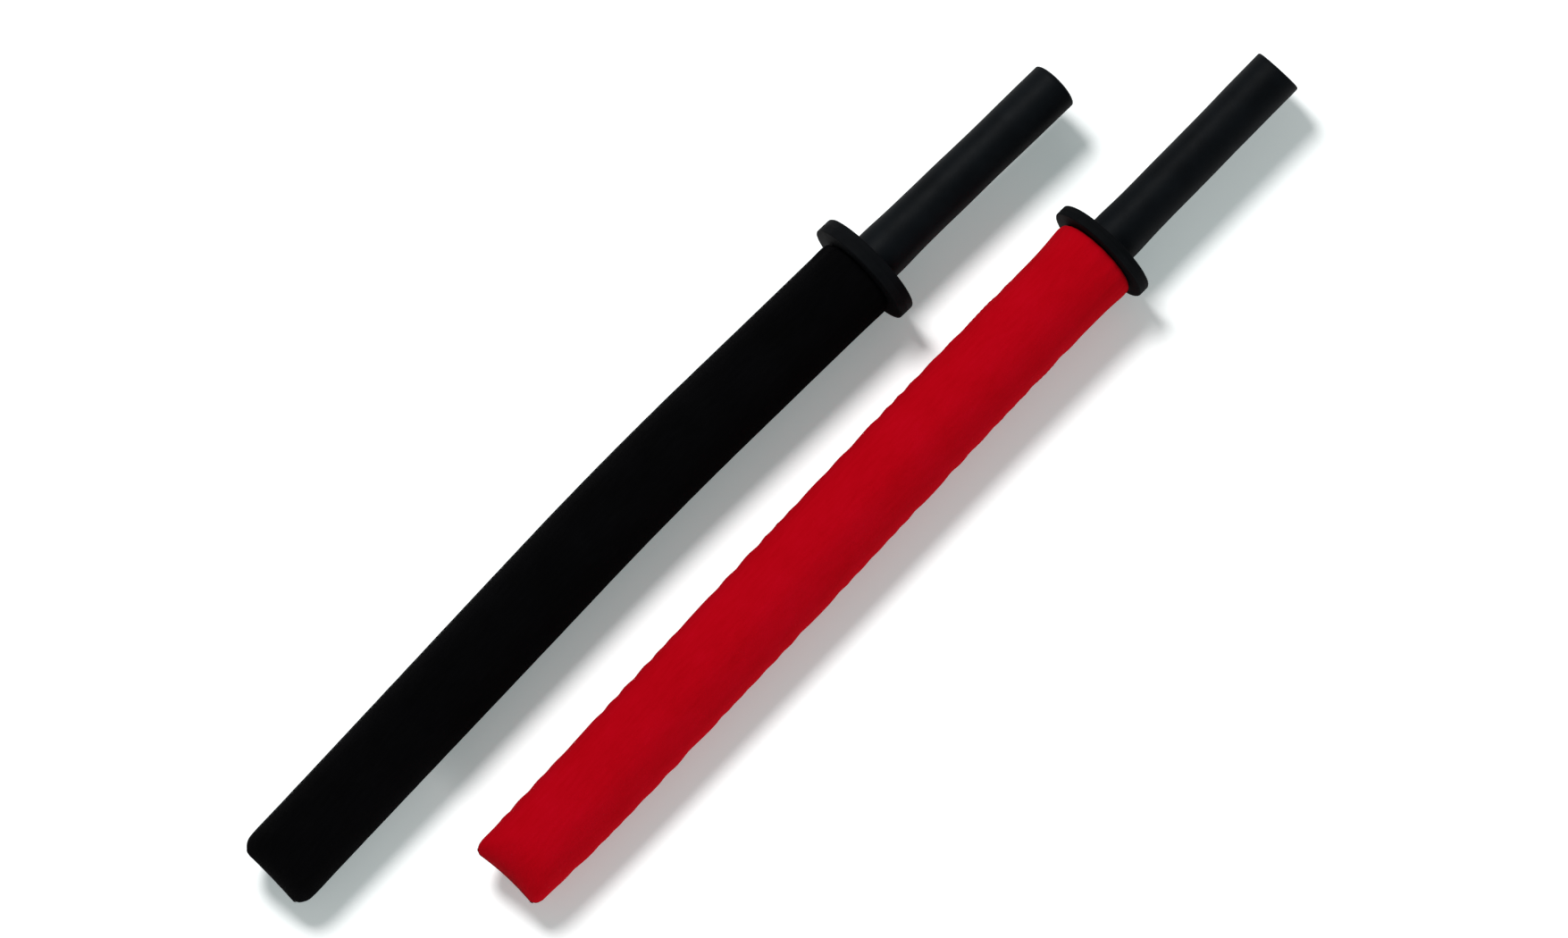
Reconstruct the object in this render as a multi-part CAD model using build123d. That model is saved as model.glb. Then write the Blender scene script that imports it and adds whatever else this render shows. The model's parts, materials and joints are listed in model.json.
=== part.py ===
from build123d import *

import math
import os
from dataclasses import dataclass

# A pair of padded focus training sticks, one black and one red, lying side by side on a floor.
# Each stick is a plastic pipe inside a foam body, with a sewn cloth cover over the foam, a rubber
# guard and a closed-end foam grip. The foam and the pipe are a little bent, as such sticks are.
# Millimetres. +X runs along the black stick's grip, from the padded tips to the butts, +Y from the
# red stick to the black one, and +Z is up. The origin is on the floor, under the pair's middle.
#
# A place on a stick is its distance ahead of the guard's front face, measured along the axis:
# positive in the padding, negative in the guard and the grip.

# The whole stick
overall_length = 703.0

# Core pipe and the two mouldings that close it
pipe_diameter = 20.0
pipe_wall = 2.0
cap_wall = 2.0
cap_end = 4.0
cap_skirt = 15.0
cap_edge = 2.5
plug_spigot = 12.0
plug_head = 2.0

# Padding
foam_diameter = 53.0
tip_cushion = 50.0  # foam and cover ahead of the pipe's cap

# Cover
cloth = 1.0
tip_corner = 8.0  # outside radius at the padded end
shoulder = 4.0  # outside radius beside the guard
elastic_diameter = 2.5
hem_gap = 0.25  # all round the hem, to the pipe and to the foam
hem_opening = 70.0  # degrees of the fold that the cloth's raw edge leaves open
hem_opening_turn = 45.0  # degrees from the tip's direction out to the opening's middle

# Guard
guard_corner = 1.5

# Grip
grip_diameter = 32.0
grip_end_wall = 8.0
grip_corner = 2.5


@dataclass
class Stick:
    """What differs between the two sticks."""

    name: str
    padded_length: float  # guard's front face to the tip
    guard_diameter: float
    guard_thickness: float
    bend: float  # degrees that the padded part turns, towards -Y at the tip
    bend_start: float  # how far ahead of the guard the bend begins
    bend_length: float
    place: tuple  # the guard's front face on the floor plan
    heading: float  # degrees that the grip is turned from +X


sticks = [
    Stick("black", padded_length=526.0, guard_diameter=75.0, guard_thickness=11.0, bend=2.8,
          bend_start=125.0, bend_length=135.0, place=(0.0, 0.0), heading=0.0),
    Stick("red", padded_length=540.0, guard_diameter=72.5, guard_thickness=8.0, bend=1.1,
          bend_start=60.0, bend_length=130.0, place=(115.0, -96.3), heading=1.6),
]

cover_diameter = foam_diameter + 2 * cloth
cap_diameter = pipe_diameter + 2 * cap_wall
cap_length = cap_skirt + cap_end
hem_radius = elastic_diameter / 2 + cloth
hem_centre = pipe_diameter / 2 + hem_gap + hem_radius


def sleeve_end(stick):
    """Distance at which the foam sleeve ends and the pipe's cap and the foam tip begin."""
    return stick.padded_length - tip_cushion - cap_length


def axis_at(stick, distance):
    """Location on the stick's axis, with +X pointing back along it to the grip."""
    if distance <= stick.bend_start or stick.bend == 0:
        return Location((-distance, 0, 0))
    radius = stick.bend_length / math.radians(stick.bend)
    angle = min(distance - stick.bend_start, stick.bend_length) / radius
    along = stick.bend_start + radius * math.sin(angle)
    across = radius * (1 - math.cos(angle))
    beyond = max(distance - stick.bend_start - stick.bend_length, 0)
    return Location((-along, -across, 0), (0, 0, math.degrees(angle))) * Location((-beyond, 0, 0))


def front_tube(stick, outer, inner):
    """Tube round the axis from the start of the bend to the sleeve's end."""
    run = sleeve_end(stick) - stick.bend_start
    if stick.bend == 0:
        return axis_at(stick, stick.bend_start) * turned(band(0, run, outer, inner))
    ring = Plane.YZ * (Circle(outer / 2) - Circle(inner / 2))
    radius = stick.bend_length / math.radians(stick.bend)
    centre_line = Axis((-stick.bend_start, -radius, 0), (0, 0, 1))
    bent = revolve(axis_at(stick, stick.bend_start) * ring, centre_line, stick.bend)
    straight = turned(band(0, run - stick.bend_length, outer, inner))
    return bent + axis_at(stick, stick.bend_start + stick.bend_length) * straight


def band(near, far, outer, inner=0.0):
    """Half section between two distances and two diameters, in the XY plane above the X axis."""
    height = (outer - inner) / 2
    return Pos(-(near + far) / 2, (outer + inner) / 4) * Rectangle(far - near, height)


def rounded(section, side, radius):
    """Rounds the section's outer corner at its guard side (+1) or its tip side (-1)."""
    top = section.vertices().group_by(Axis.Y)[-1].sort_by(Axis.X)
    return fillet(top[-1] if side > 0 else top[0], radius)


def turned(section):
    """Solid of a half section spun round the X axis."""
    return revolve(section, Axis.X)


def core_pipe(stick):
    bore = pipe_diameter - 2 * pipe_wall
    rear = overall_length - stick.padded_length - grip_end_wall - plug_head
    straight = turned(band(-rear, stick.bend_start, pipe_diameter, bore))
    front = axis_at(stick, sleeve_end(stick)) * turned(band(0, cap_skirt, pipe_diameter, bore))
    return straight + front_tube(stick, pipe_diameter, bore) + front


def pipe_front_cap(stick):
    cup = rounded(band(0, cap_length, cap_diameter), -1, cap_edge) - band(0, cap_skirt, pipe_diameter)
    return axis_at(stick, sleeve_end(stick)) * turned(cup)


def pipe_rear_plug(stick):
    rear = overall_length - stick.padded_length - grip_end_wall
    head = band(-rear, plug_head - rear, pipe_diameter)
    spigot = band(plug_head - rear, plug_head + plug_spigot - rear, pipe_diameter - 2 * pipe_wall)
    return turned(head + spigot)


def foam_sleeve(stick):
    back = rounded(band(cloth, stick.bend_start, foam_diameter), 1, shoulder - cloth)
    pocket = band(0, 2 * hem_radius + hem_gap, 2 * (hem_centre + hem_radius + hem_gap))
    bore = band(0, stick.bend_start, pipe_diameter)
    return turned(back - pocket - bore) + front_tube(stick, foam_diameter, pipe_diameter)


def foam_tip(stick):
    length = stick.padded_length - sleeve_end(stick) - cloth
    block = rounded(band(0, length, foam_diameter), -1, tip_corner - cloth)
    return axis_at(stick, sleeve_end(stick)) * turned(block - band(0, cap_length, cap_diameter))


def cover(stick):
    """Cloth tube, closed at the tip and folded round the elastic at the guard."""
    length = stick.padded_length - sleeve_end(stick)
    tip = rounded(band(0, length, cover_diameter), -1, tip_corner)
    tip -= rounded(band(0, length - cloth, foam_diameter), -1, tip_corner - cloth)
    back = rounded(band(0, stick.bend_start, cover_diameter), 1, shoulder)
    back -= rounded(band(cloth, stick.bend_start, foam_diameter), 1, shoulder - cloth)
    back -= band(0, stick.bend_start, 2 * hem_centre)
    fold = Pos(-hem_radius, hem_centre) * (Circle(hem_radius) - Circle(hem_radius - cloth))
    reach = 2 * hem_radius
    half = math.radians(hem_opening) / 2
    corners = [(0, 0)] + [(-reach * math.cos(a), reach * math.sin(a)) for a in (-half, half)]
    wedge = make_face(Polyline(*corners, close=True))
    gap = Pos(-hem_radius, hem_centre) * Rot(0, 0, -hem_opening_turn) * wedge
    mouth = turned(back + (fold - gap))
    end = axis_at(stick, sleeve_end(stick)) * turned(tip)
    return mouth + front_tube(stick, cover_diameter, foam_diameter) + end


def cover_elastic(stick):
    return turned(Pos(-hem_radius, hem_centre) * Circle(elastic_diameter / 2))


def guard(stick):
    disc = band(-stick.guard_thickness, 0, stick.guard_diameter)
    disc = rounded(rounded(disc, 1, guard_corner), -1, guard_corner)
    return turned(disc - band(-stick.guard_thickness, 0, pipe_diameter))


def grip(stick):
    butt = overall_length - stick.padded_length
    front = -stick.guard_thickness
    handle = rounded(band(-butt, front, grip_diameter), 1, grip_corner)
    return turned(handle - band(grip_end_wall - butt, front, pipe_diameter))


def resting_place(stick):
    """Leans the stick until the guard's rim and the tip's edge both touch the floor, and places it."""
    tip = axis_at(stick, stick.padded_length - tip_corner).position
    reach = guard_corner - tip.X
    rim = stick.guard_diameter / 2 - guard_corner  # radius at the middle of the guard's rounded corner
    drop = rim - (cover_diameter / 2 - tip_corner)
    lean = math.atan2(drop, reach) + math.asin((guard_corner - tip_corner) / math.hypot(drop, reach))
    height = rim * math.cos(lean) + guard_corner * (1 - math.sin(lean))
    on_floor = Location((*stick.place, height), (0, 0, stick.heading))
    return on_floor * Location((0, 0, 0), (0, -math.degrees(lean), 0))


inner_pieces = [core_pipe, pipe_front_cap, pipe_rear_plug, foam_sleeve, foam_tip, cover_elastic]
outer_pieces = [cover, guard, grip]
solids = {}
for stick in sticks:
    for piece in inner_pieces + outer_pieces:
        solids[f"{stick.name}_{piece.__name__}"] = resting_place(stick) * piece(stick)

box = Compound(list(solids.values())).bounding_box()
middle = Pos(-box.center().X, -box.center().Y, 0)
os.makedirs("parts", exist_ok=True)
for name, solid in solids.items():
    export_step(middle * solid, f"parts/{name}.step")

# What a sleeve over each grip would fit: the middle of the grip's straight length, in metres
for stick in sticks:
    straight_end = overall_length - stick.padded_length - grip_corner
    place = middle * resting_place(stick) * Pos((stick.guard_thickness + straight_end) / 2, 0, 0)
    back = (place * Pos(1, 0, 0)).position - place.position
    centre = [round(value / 1000, 6) for value in place.position]
    print(stick.name, "grip centre", centre, "axis", [round(value, 6) for value in back])
    print(stick.name, "grip length", straight_end - stick.guard_thickness)
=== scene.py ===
import json
import math

import bmesh
import bpy
import numpy as np
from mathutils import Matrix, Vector, noise


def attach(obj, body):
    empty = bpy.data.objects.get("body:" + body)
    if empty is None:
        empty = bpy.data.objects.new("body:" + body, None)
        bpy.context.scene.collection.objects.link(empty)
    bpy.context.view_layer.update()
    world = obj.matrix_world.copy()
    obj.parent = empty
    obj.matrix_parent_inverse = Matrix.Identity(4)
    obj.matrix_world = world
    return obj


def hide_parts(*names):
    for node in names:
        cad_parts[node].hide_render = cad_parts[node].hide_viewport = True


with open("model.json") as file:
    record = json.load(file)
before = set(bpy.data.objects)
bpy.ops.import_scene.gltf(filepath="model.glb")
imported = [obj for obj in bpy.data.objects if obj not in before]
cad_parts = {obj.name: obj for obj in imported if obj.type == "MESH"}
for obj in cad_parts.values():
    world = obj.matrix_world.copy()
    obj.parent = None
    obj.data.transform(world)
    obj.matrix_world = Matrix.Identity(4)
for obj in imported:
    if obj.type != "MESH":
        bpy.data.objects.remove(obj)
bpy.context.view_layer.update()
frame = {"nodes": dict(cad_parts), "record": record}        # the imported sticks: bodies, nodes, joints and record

# A pair of padded training sticks on a pale floor: X runs back along them to the butts, Z is up.
# A place on a stick is its distance ahead of the guard's front face, along the bent axis.

camera = {
    "azimuth": -44.84,       # degrees round the sticks
    "elevation": 75.06,
    "lookAt": (0.01066, 0.00634, -0.0053),
    "width": 0.980,          # metres across the view at the sticks
    "lens": 200.0,
    "sensor": 36.0,
    "farthest": 50.0,        # nothing further than this is drawn
}

studio = {
    "keyFrom": (0.17, 1.0, 1.75),   # direction from the sticks to the key light
    "keyDistance": 3.0,
    "keySize": 1.0,
    "keyPower": 88.0,
    "fillFrom": (-0.40, -1.0, 0.19),
    "fillDistance": 3.2,
    "fillSize": 1.0,
    "fillPower": 48.0,
    "skyStrength": 0.27,
    "floorColour": (0.95, 0.95, 0.95),
    "floorLift": 0.228,             # added for the camera only, so that the bare floor is white
    "liftColour": (0.81, 1.0, 0.99, 1.0),   # cooler than the floor, against the red cloth's tint
    "floorSize": 8.0,
}


def unit(vector):
    return Vector(vector).normalized()


def makeCamera():
    a, e = math.radians(camera["azimuth"]), math.radians(camera["elevation"])
    back = Vector((math.sin(a) * math.cos(e), -math.cos(a) * math.cos(e), math.sin(e)))
    data = bpy.data.cameras.new("camera")
    data.lens = camera["lens"]
    data.sensor_width = camera["sensor"]
    data.clip_end = camera["farthest"]
    item = bpy.data.objects.new("camera", data)
    distance = camera["width"] * camera["lens"] / camera["sensor"]
    item.location = Vector(camera["lookAt"]) + back * distance
    item.rotation_mode = "QUATERNION"
    item.rotation_quaternion = (-back).to_track_quat("-Z", "Y")
    bpy.context.scene.collection.objects.link(item)
    bpy.context.scene.camera = item


def makeLamp(name, direction, distance, size, power):
    data = bpy.data.lights.new(name, "AREA")
    data.shape = "DISK"
    data.size = size
    data.energy = power
    item = bpy.data.objects.new(name, data)
    item.location = unit(direction) * distance
    item.rotation_mode = "QUATERNION"
    item.rotation_quaternion = unit(direction).to_track_quat("Z", "Y")
    bpy.context.scene.collection.objects.link(item)


def link(tree, *pairs):
    for out, into in pairs:
        tree.links.new(out, into)


def makeFloor():
    half = studio["floorSize"] / 2
    data = bpy.data.meshes.new("floor")
    corners = [(-half, -half, 0), (half, -half, 0), (half, half, 0), (-half, half, 0)]
    data.from_pydata(corners, [], [(0, 1, 2, 3)])
    item = bpy.data.objects.new("floor", data)
    bpy.context.scene.collection.objects.link(item)
    material = bpy.data.materials.new("floorPaper")
    material.use_nodes = True
    tree = material.node_tree
    tree.nodes.clear()
    diffuse = tree.nodes.new("ShaderNodeBsdfDiffuse")
    diffuse.inputs["Color"].default_value = (*studio["floorColour"], 1)
    glow = tree.nodes.new("ShaderNodeEmission")
    glow.inputs["Strength"].default_value = studio["floorLift"]
    glow.inputs["Color"].default_value = studio["liftColour"]
    both = tree.nodes.new("ShaderNodeAddShader")
    mix = tree.nodes.new("ShaderNodeMixShader")
    path = tree.nodes.new("ShaderNodeLightPath")
    out = tree.nodes.new("ShaderNodeOutputMaterial")
    link(tree, (diffuse.outputs[0], both.inputs[0]), (glow.outputs[0], both.inputs[1]),
         (path.outputs["Is Camera Ray"], mix.inputs[0]), (diffuse.outputs[0], mix.inputs[1]),
         (both.outputs[0], mix.inputs[2]), (mix.outputs[0], out.inputs["Surface"]))
    data.materials.append(material)


def makeWorld():
    world = bpy.data.worlds.new("sky")
    bpy.context.scene.world = world
    world.use_nodes = True
    tree = world.node_tree
    tree.nodes.clear()
    sky = tree.nodes.new("ShaderNodeBackground")
    sky.inputs["Strength"].default_value = studio["skyStrength"]
    seen = tree.nodes.new("ShaderNodeBackground")
    mix = tree.nodes.new("ShaderNodeMixShader")
    path = tree.nodes.new("ShaderNodeLightPath")
    out = tree.nodes.new("ShaderNodeOutputWorld")
    link(tree, (path.outputs["Is Camera Ray"], mix.inputs[0]), (sky.outputs[0], mix.inputs[1]),
         (seen.outputs[0], mix.inputs[2]), (mix.outputs[0], out.inputs["Surface"]))


bpy.context.scene.view_settings.view_transform = "Standard"
makeCamera()
for lamp in ("key", "fill"):
    makeLamp(lamp + "Light", studio[lamp + "From"], studio[lamp + "Distance"],
             studio[lamp + "Size"], studio[lamp + "Power"])
makeFloor()
makeWorld()
print("camera, lights and floor made")

# What differs between the two sticks
sticks = {
    "black": {
        "bend": 2.8,           # degrees, as the pipe is bent
        "bendStart": 0.125,    # how far ahead of the guard the bend begins
        "bendLength": 0.135,
        "roll": 20.0,          # degrees that the seams are turned about the stick's axis
        "radius": 0.0274,
        "flare": 0.0004,       # how far the cover swells beside the guard
        "tipRadius": 0.0266,
        "tipPull": 0.0010,     # how far the sewn end is drawn in between its ears
        "tipSkew": 0.0009,     # how far each end of that seam is off square
        "ears": (0.0002, 0.0002),
        "taper": (0.0, 0.0),   # how much narrower each side gets in the last few centimetres
        "corners": (0.0100, 0.0100),
        "pucker": 0.00015,     # how deep the side seams pucker between stitches
        "buttDome": 0.0030,
        "buttCut": 0.0,        # how far out of square the butt is cut, as a slope
        "buttExtra": -0.0010,
        "buttEdge": 0.0024,
        "seed": 3,
    },
    "red": {
        "bend": 1.1,
        "bendStart": 0.060,
        "bendLength": 0.130,
        "roll": 11.0,
        "radius": 0.0277,
        "flare": 0.0013,
        "tipRadius": 0.0270,
        "tipPull": 0.0020,
        "tipSkew": 0.0,
        "ears": (0.0005, 0.0),
        "taper": (0.0, 0.0026),
        "corners": (0.0060, 0.0074),
        "pucker": 0.00125,
        "buttDome": 0.0010,
        "buttCut": 0.20,
        "buttExtra": 0.0030,
        "buttEdge": 0.0014,
        "seed": 11,
    },
}

padding = {
    "tipCushion": 0.050,     # past the pipe's cap
    "back": 0.0050,          # the foam's back face, ahead of the guard
    "boreRows": 40,
    "cloth": 0.0009,
    "slack": 0.0016,         # left between the cloth's inside and the foam, for the puckers
    "shoulder": 0.0045,
    "tipLength": 0.023,      # the padded end closes to its seam over this length
    "taperLength": 0.045,
}


def along(points, origin, axis):
    return (points - origin) @ axis


def nodePoints(name):
    mesh = frame["nodes"][name].data
    points = np.empty(len(mesh.vertices) * 3)
    mesh.vertices.foreach_get("co", points)
    return points.reshape(-1, 3)


# Each stick's own axes and lengths, taken from the frame
mounts = {m["name"]: m for m in frame["record"]["mounts"]}
for colour, stick in sticks.items():
    mount = mounts[colour + "_grip"]
    back = np.array(mount["axis"]) / np.linalg.norm(mount["axis"])
    side = np.cross((0, 0, 1), back)
    side /= np.linalg.norm(side)
    up = np.cross(back, side)
    centre = np.array(mount["pos_m"])
    guard = along(nodePoints(colour + "_guard"), centre, back)
    stick["origin"] = centre + back * guard.min()
    stick["back"], stick["side"], stick["up"] = back, side, up
    stick["guardThickness"] = guard.max() - guard.min()
    guardPoints = nodePoints(colour + "_guard") - centre
    stick["guardRadius"] = np.linalg.norm(guardPoints - np.outer(guardPoints @ back, back), axis=1).max()
    stick["gripRadius"] = mount["dims"]["r_mm"] / 1000
    stick["butt"] = along(nodePoints(colour + "_grip"), stick["origin"], back).max()
    tip = along(nodePoints(colour + "_cover"), stick["origin"], back).min()
    stick["body"] = colour + "_stick"
    # the padded length along the bent axis, from its straight-line reach
    turn = math.radians(stick["bend"])
    ahead = -tip - stick["bendStart"] - stick["bendLength"] * math.sin(turn) / turn
    stick["padded"] = stick["bendStart"] + stick["bendLength"] + ahead / math.cos(turn)
    print(colour, "padded", round(stick["padded"], 4), "guard", round(stick["guardThickness"], 4),
          round(stick["guardRadius"], 4), "butt", round(stick["butt"], 4))


def axisAt(stick, distance):
    # how far back and to the side the bent axis is, and how far it has turned
    radius = stick["bendLength"] / math.radians(stick["bend"])
    angle = np.clip(distance - stick["bendStart"], 0, stick["bendLength"]) / radius
    beyond = np.maximum(distance - stick["bendStart"] - stick["bendLength"], 0)
    x = -(np.minimum(distance, stick["bendStart"]) + radius * np.sin(angle) + beyond * np.cos(angle))
    y = -(radius * (1 - np.cos(angle)) + beyond * np.sin(angle))
    return x, y, angle


def place(stick, distance, sideways, upwards):
    # points from distances ahead of the guard and offsets across the bent axis, all arrays
    x, y, angle = axisAt(stick, distance)
    x, y = x - np.sin(angle) * sideways, y + np.cos(angle) * sideways
    return (stick["origin"] + np.multiply.outer(x, stick["back"]) + np.multiply.outer(y, stick["side"])
            + np.multiply.outer(upwards, stick["up"]))


def addObject(name, points, faces, material):
    mesh = bpy.data.meshes.new(name)
    mesh.from_pydata([tuple(p) for p in points], [], faces)
    mesh.materials.append(material)
    mesh.polygons.foreach_set("use_smooth", [True] * len(mesh.polygons))
    mesh.update()
    item = bpy.data.objects.new(name, mesh)
    bpy.context.scene.collection.objects.link(item)
    return item


# Materials: colours are linear, and every pattern is in metres
def newMaterial(name, roughness, specular, sheen=0.0, sheenRoughness=0.5, sheenTint=(1, 1, 1)):
    material = bpy.data.materials.new(name)
    material.use_nodes = True
    tree = material.node_tree
    shader = tree.nodes["Principled BSDF"]
    shader.inputs["Roughness"].default_value = roughness
    shader.inputs["Specular IOR Level"].default_value = specular
    shader.inputs["Sheen Weight"].default_value = sheen
    shader.inputs["Sheen Roughness"].default_value = sheenRoughness
    shader.inputs["Sheen Tint"].default_value = (*sheenTint, 1)
    return material, tree, shader


def addNode(tree, kind, values=(), **settings):
    node = tree.nodes.new(kind)
    for key, value in settings.items():
        setattr(node, key, value)
    for key, value in dict(values).items():
        node.inputs[key].default_value = value
    return node


def scaledCoordinates(tree, source, scale):
    # Object coordinates or the piece's own UV map, stretched
    if source == "Object":
        start = addNode(tree, "ShaderNodeTexCoord").outputs["Object"]
    else:
        start = addNode(tree, "ShaderNodeUVMap", uv_map=source).outputs["UV"]
    mapping = addNode(tree, "ShaderNodeMapping", {"Scale": scale})
    link(tree, (start, mapping.inputs["Vector"]))
    return mapping.outputs["Vector"]


def noiseOf(tree, vector, scale, detail, roughness):
    values = {"Scale": scale, "Detail": detail, "Roughness": roughness}
    node = addNode(tree, "ShaderNodeTexNoise", values)
    link(tree, (vector, node.inputs["Vector"]))
    return node.outputs["Fac"]


def mathOf(tree, operation, first, second):
    node = addNode(tree, "ShaderNodeMath", operation=operation)
    for i, value in enumerate((first, second)):
        if isinstance(value, (int, float)):
            node.inputs[i].default_value = value
        else:
            link(tree, (value, node.inputs[i]))
    return node.outputs[0]


def blendOf(tree, first, second, share):
    # the given share of the second, and the rest of the first
    return mathOf(tree, "ADD", mathOf(tree, "MULTIPLY", first, 1 - share),
                  mathOf(tree, "MULTIPLY", second, share))


def rangeOf(tree, factor, low, high):
    # a factor from 0 to 1 spread from low to high
    node = addNode(tree, "ShaderNodeMapRange", {"To Min": low, "To Max": high})
    link(tree, (factor, node.inputs["Value"]))
    return node.outputs["Result"]


def rampOf(tree, factor, *stops):
    node = addNode(tree, "ShaderNodeValToRGB")
    ramp = node.color_ramp
    while len(ramp.elements) < len(stops):
        ramp.elements.new(0.5)
    for element, (position, colour) in zip(ramp.elements, stops):
        element.position = position
        element.color = (*colour, 1)
    link(tree, (factor, node.inputs["Fac"]))
    return node.outputs["Color"]


def bumpOf(tree, shader, height, distance, strength=1.0):
    node = addNode(tree, "ShaderNodeBump", {"Strength": strength, "Distance": distance})
    link(tree, (height, node.inputs["Height"]), (node.outputs["Normal"], shader.inputs["Normal"]))


# The "seam" colour is painted shade: a dark band along each side seam, which lies close to the stick's outline,
# stands for the shade at its edges
cloths = {
    "black": {"deep": (0.0006, 0.0006, 0.0007), "face": (0.0010, 0.0010, 0.0012),
              "lint": (0.0016, 0.0016, 0.0019), "seam": (0.0006, 0.0006, 0.0007),
              "sheen": 0.0, "tint": (0.75, 0.78, 0.9)},
    "red": {"deep": (0.352, 0.0003, 0.0040), "face": (0.384, 0.0006, 0.0055),
            "lint": (0.410, 0.0010, 0.0080), "seam": (0.100, 0.0006, 0.0060),
            "sheen": 0.03, "tint": (1.0, 0.05, 0.08)},
}
clothGrain = {
    "roughness": 0.95,
    "specular": 0.025,
    "sheenRoughness": 0.45,
    "wale": 0.00085,      # metres between the knit's columns
    "course": 0.00062,    # and between its rows
    "waleShare": 0.75,    # how much of the knit's relief is its columns
    "depth": 0.00016,
    "cloud": 26.0,        # slow change of tone, waves to the metre
    "nap": (70, 380, 1),  # streaks along the stick, waves to the metre along and round it
    "napShare": 0.45,
    "fuzz": 1900.0,
    "fuzzShare": 0.45,
    "tones": (0.33, 0.50, 0.70),   # where the three colours lie on the noise
    # the next two set the width of that band of painted shade along the side seams
    "paintedShadeLine": 0.0019,   # metres from a side seam over which the cloth is darker
    "paintedShadeCore": 0.35,     # the share of that over which it is darkest
}


def knitOf(tree):
    # rounded columns and softer rows, on the cover's own map
    threads = scaledCoordinates(tree, "clothMap", (1 / clothGrain["course"], 1 / clothGrain["wale"], 1))
    parts = addNode(tree, "ShaderNodeSeparateXYZ")
    link(tree, (threads, parts.inputs[0]))
    rows = mathOf(tree, "SINE", mathOf(tree, "MULTIPLY", parts.outputs["X"], 2 * math.pi), 0.0)
    across = mathOf(tree, "SINE", mathOf(tree, "MULTIPLY", parts.outputs["Y"], math.pi), 0.0)
    return blendOf(tree, rows, mathOf(tree, "ABSOLUTE", across, 0.0), clothGrain["waleShare"])


def paintedEdgeShadeOf(tree, colour):
    # 1 in both side seams, and 0 beyond their band of painted shade, which stands for the shade at the stick's
    # outline
    plain = addNode(tree, "ShaderNodeSeparateXYZ")
    link(tree, (scaledCoordinates(tree, "clothMap", (1, 1, 1)), plain.inputs[0]))
    near = mathOf(tree, "ABSOLUTE", plain.outputs["Y"], 0.0)
    halfRound = math.pi * sticks[colour]["radius"]
    far = mathOf(tree, "ABSOLUTE", mathOf(tree, "SUBTRACT", near, halfRound), 0.0)
    line = clothGrain["paintedShadeLine"]
    values = {"From Min": line * clothGrain["paintedShadeCore"], "From Max": line, "To Min": 1.0, "To Max": 0.0}
    shade = addNode(tree, "ShaderNodeMapRange", values)
    link(tree, (mathOf(tree, "MINIMUM", near, far), shade.inputs["Value"]))
    return shade.outputs["Result"]


def makeCloth(colour):
    look, grain = cloths[colour], clothGrain
    material, tree, shader = newMaterial(colour + "Cloth", grain["roughness"], grain["specular"],
                                         look["sheen"], grain["sheenRoughness"], look["tint"])
    space = scaledCoordinates(tree, "Object", (1, 1, 1))
    fuzz = noiseOf(tree, space, grain["fuzz"], 4.0, 0.7)
    cloud = noiseOf(tree, space, grain["cloud"], 4.0, 0.6)
    nap = noiseOf(tree, scaledCoordinates(tree, "clothMap", grain["nap"]), 1.0, 3.0, 0.6)
    tone = blendOf(tree, cloud, nap, grain["napShare"])
    colours = rampOf(tree, tone, *zip(grain["tones"], (look["deep"], look["face"], look["lint"])))
    # the base colour turns to the painted shade colour along the side seams
    mixed = addNode(tree, "ShaderNodeMix", data_type="RGBA")
    share, plainColour, paintedShadeColour = mixed.inputs[0], mixed.inputs[6], mixed.inputs[7]
    paintedShadeColour.default_value = (*look["seam"], 1)
    link(tree, (paintedEdgeShadeOf(tree, colour), share), (colours, plainColour),
         (mixed.outputs[2], shader.inputs["Base Color"]))
    bumpOf(tree, shader, blendOf(tree, knitOf(tree), fuzz, grain["fuzzShare"]), grain["depth"])
    return material


# Cells and blotches are to the metre
foamSkins = {
    "grip": {"dark": (0.0016, 0.0024, 0.0032), "light": (0.0030, 0.0043, 0.0056),
             "roughness": 0.55, "specular": 0.05, "cells": 1150.0, "depth": 0.00007, "blotch": 38.0},
    "guard": {"dark": (0.0015, 0.0020, 0.0025), "light": (0.0028, 0.0034, 0.0042),
              "roughness": 0.70, "specular": 0.04, "cells": 900.0, "depth": 0.00010, "blotch": 60.0},
    "padding": {"dark": (0.42, 0.42, 0.41), "light": (0.60, 0.60, 0.58),
                "roughness": 0.9, "specular": 0.2, "cells": 700.0, "depth": 0.00025, "blotch": 45.0},
}
foamGrain = {
    "tones": (0.36, 0.66),    # where the two colours lie on the noise
    "smoother": 0.07,         # change of roughness in rubbed places, each way
    "rougher": 0.10,
    "rub": 2.3,               # rubbed places to a blotch
    "dimples": 0.2,           # dimples to a cell
    "cellRelief": 0.6,
    "dimpleRelief": 0.9,
}


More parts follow.
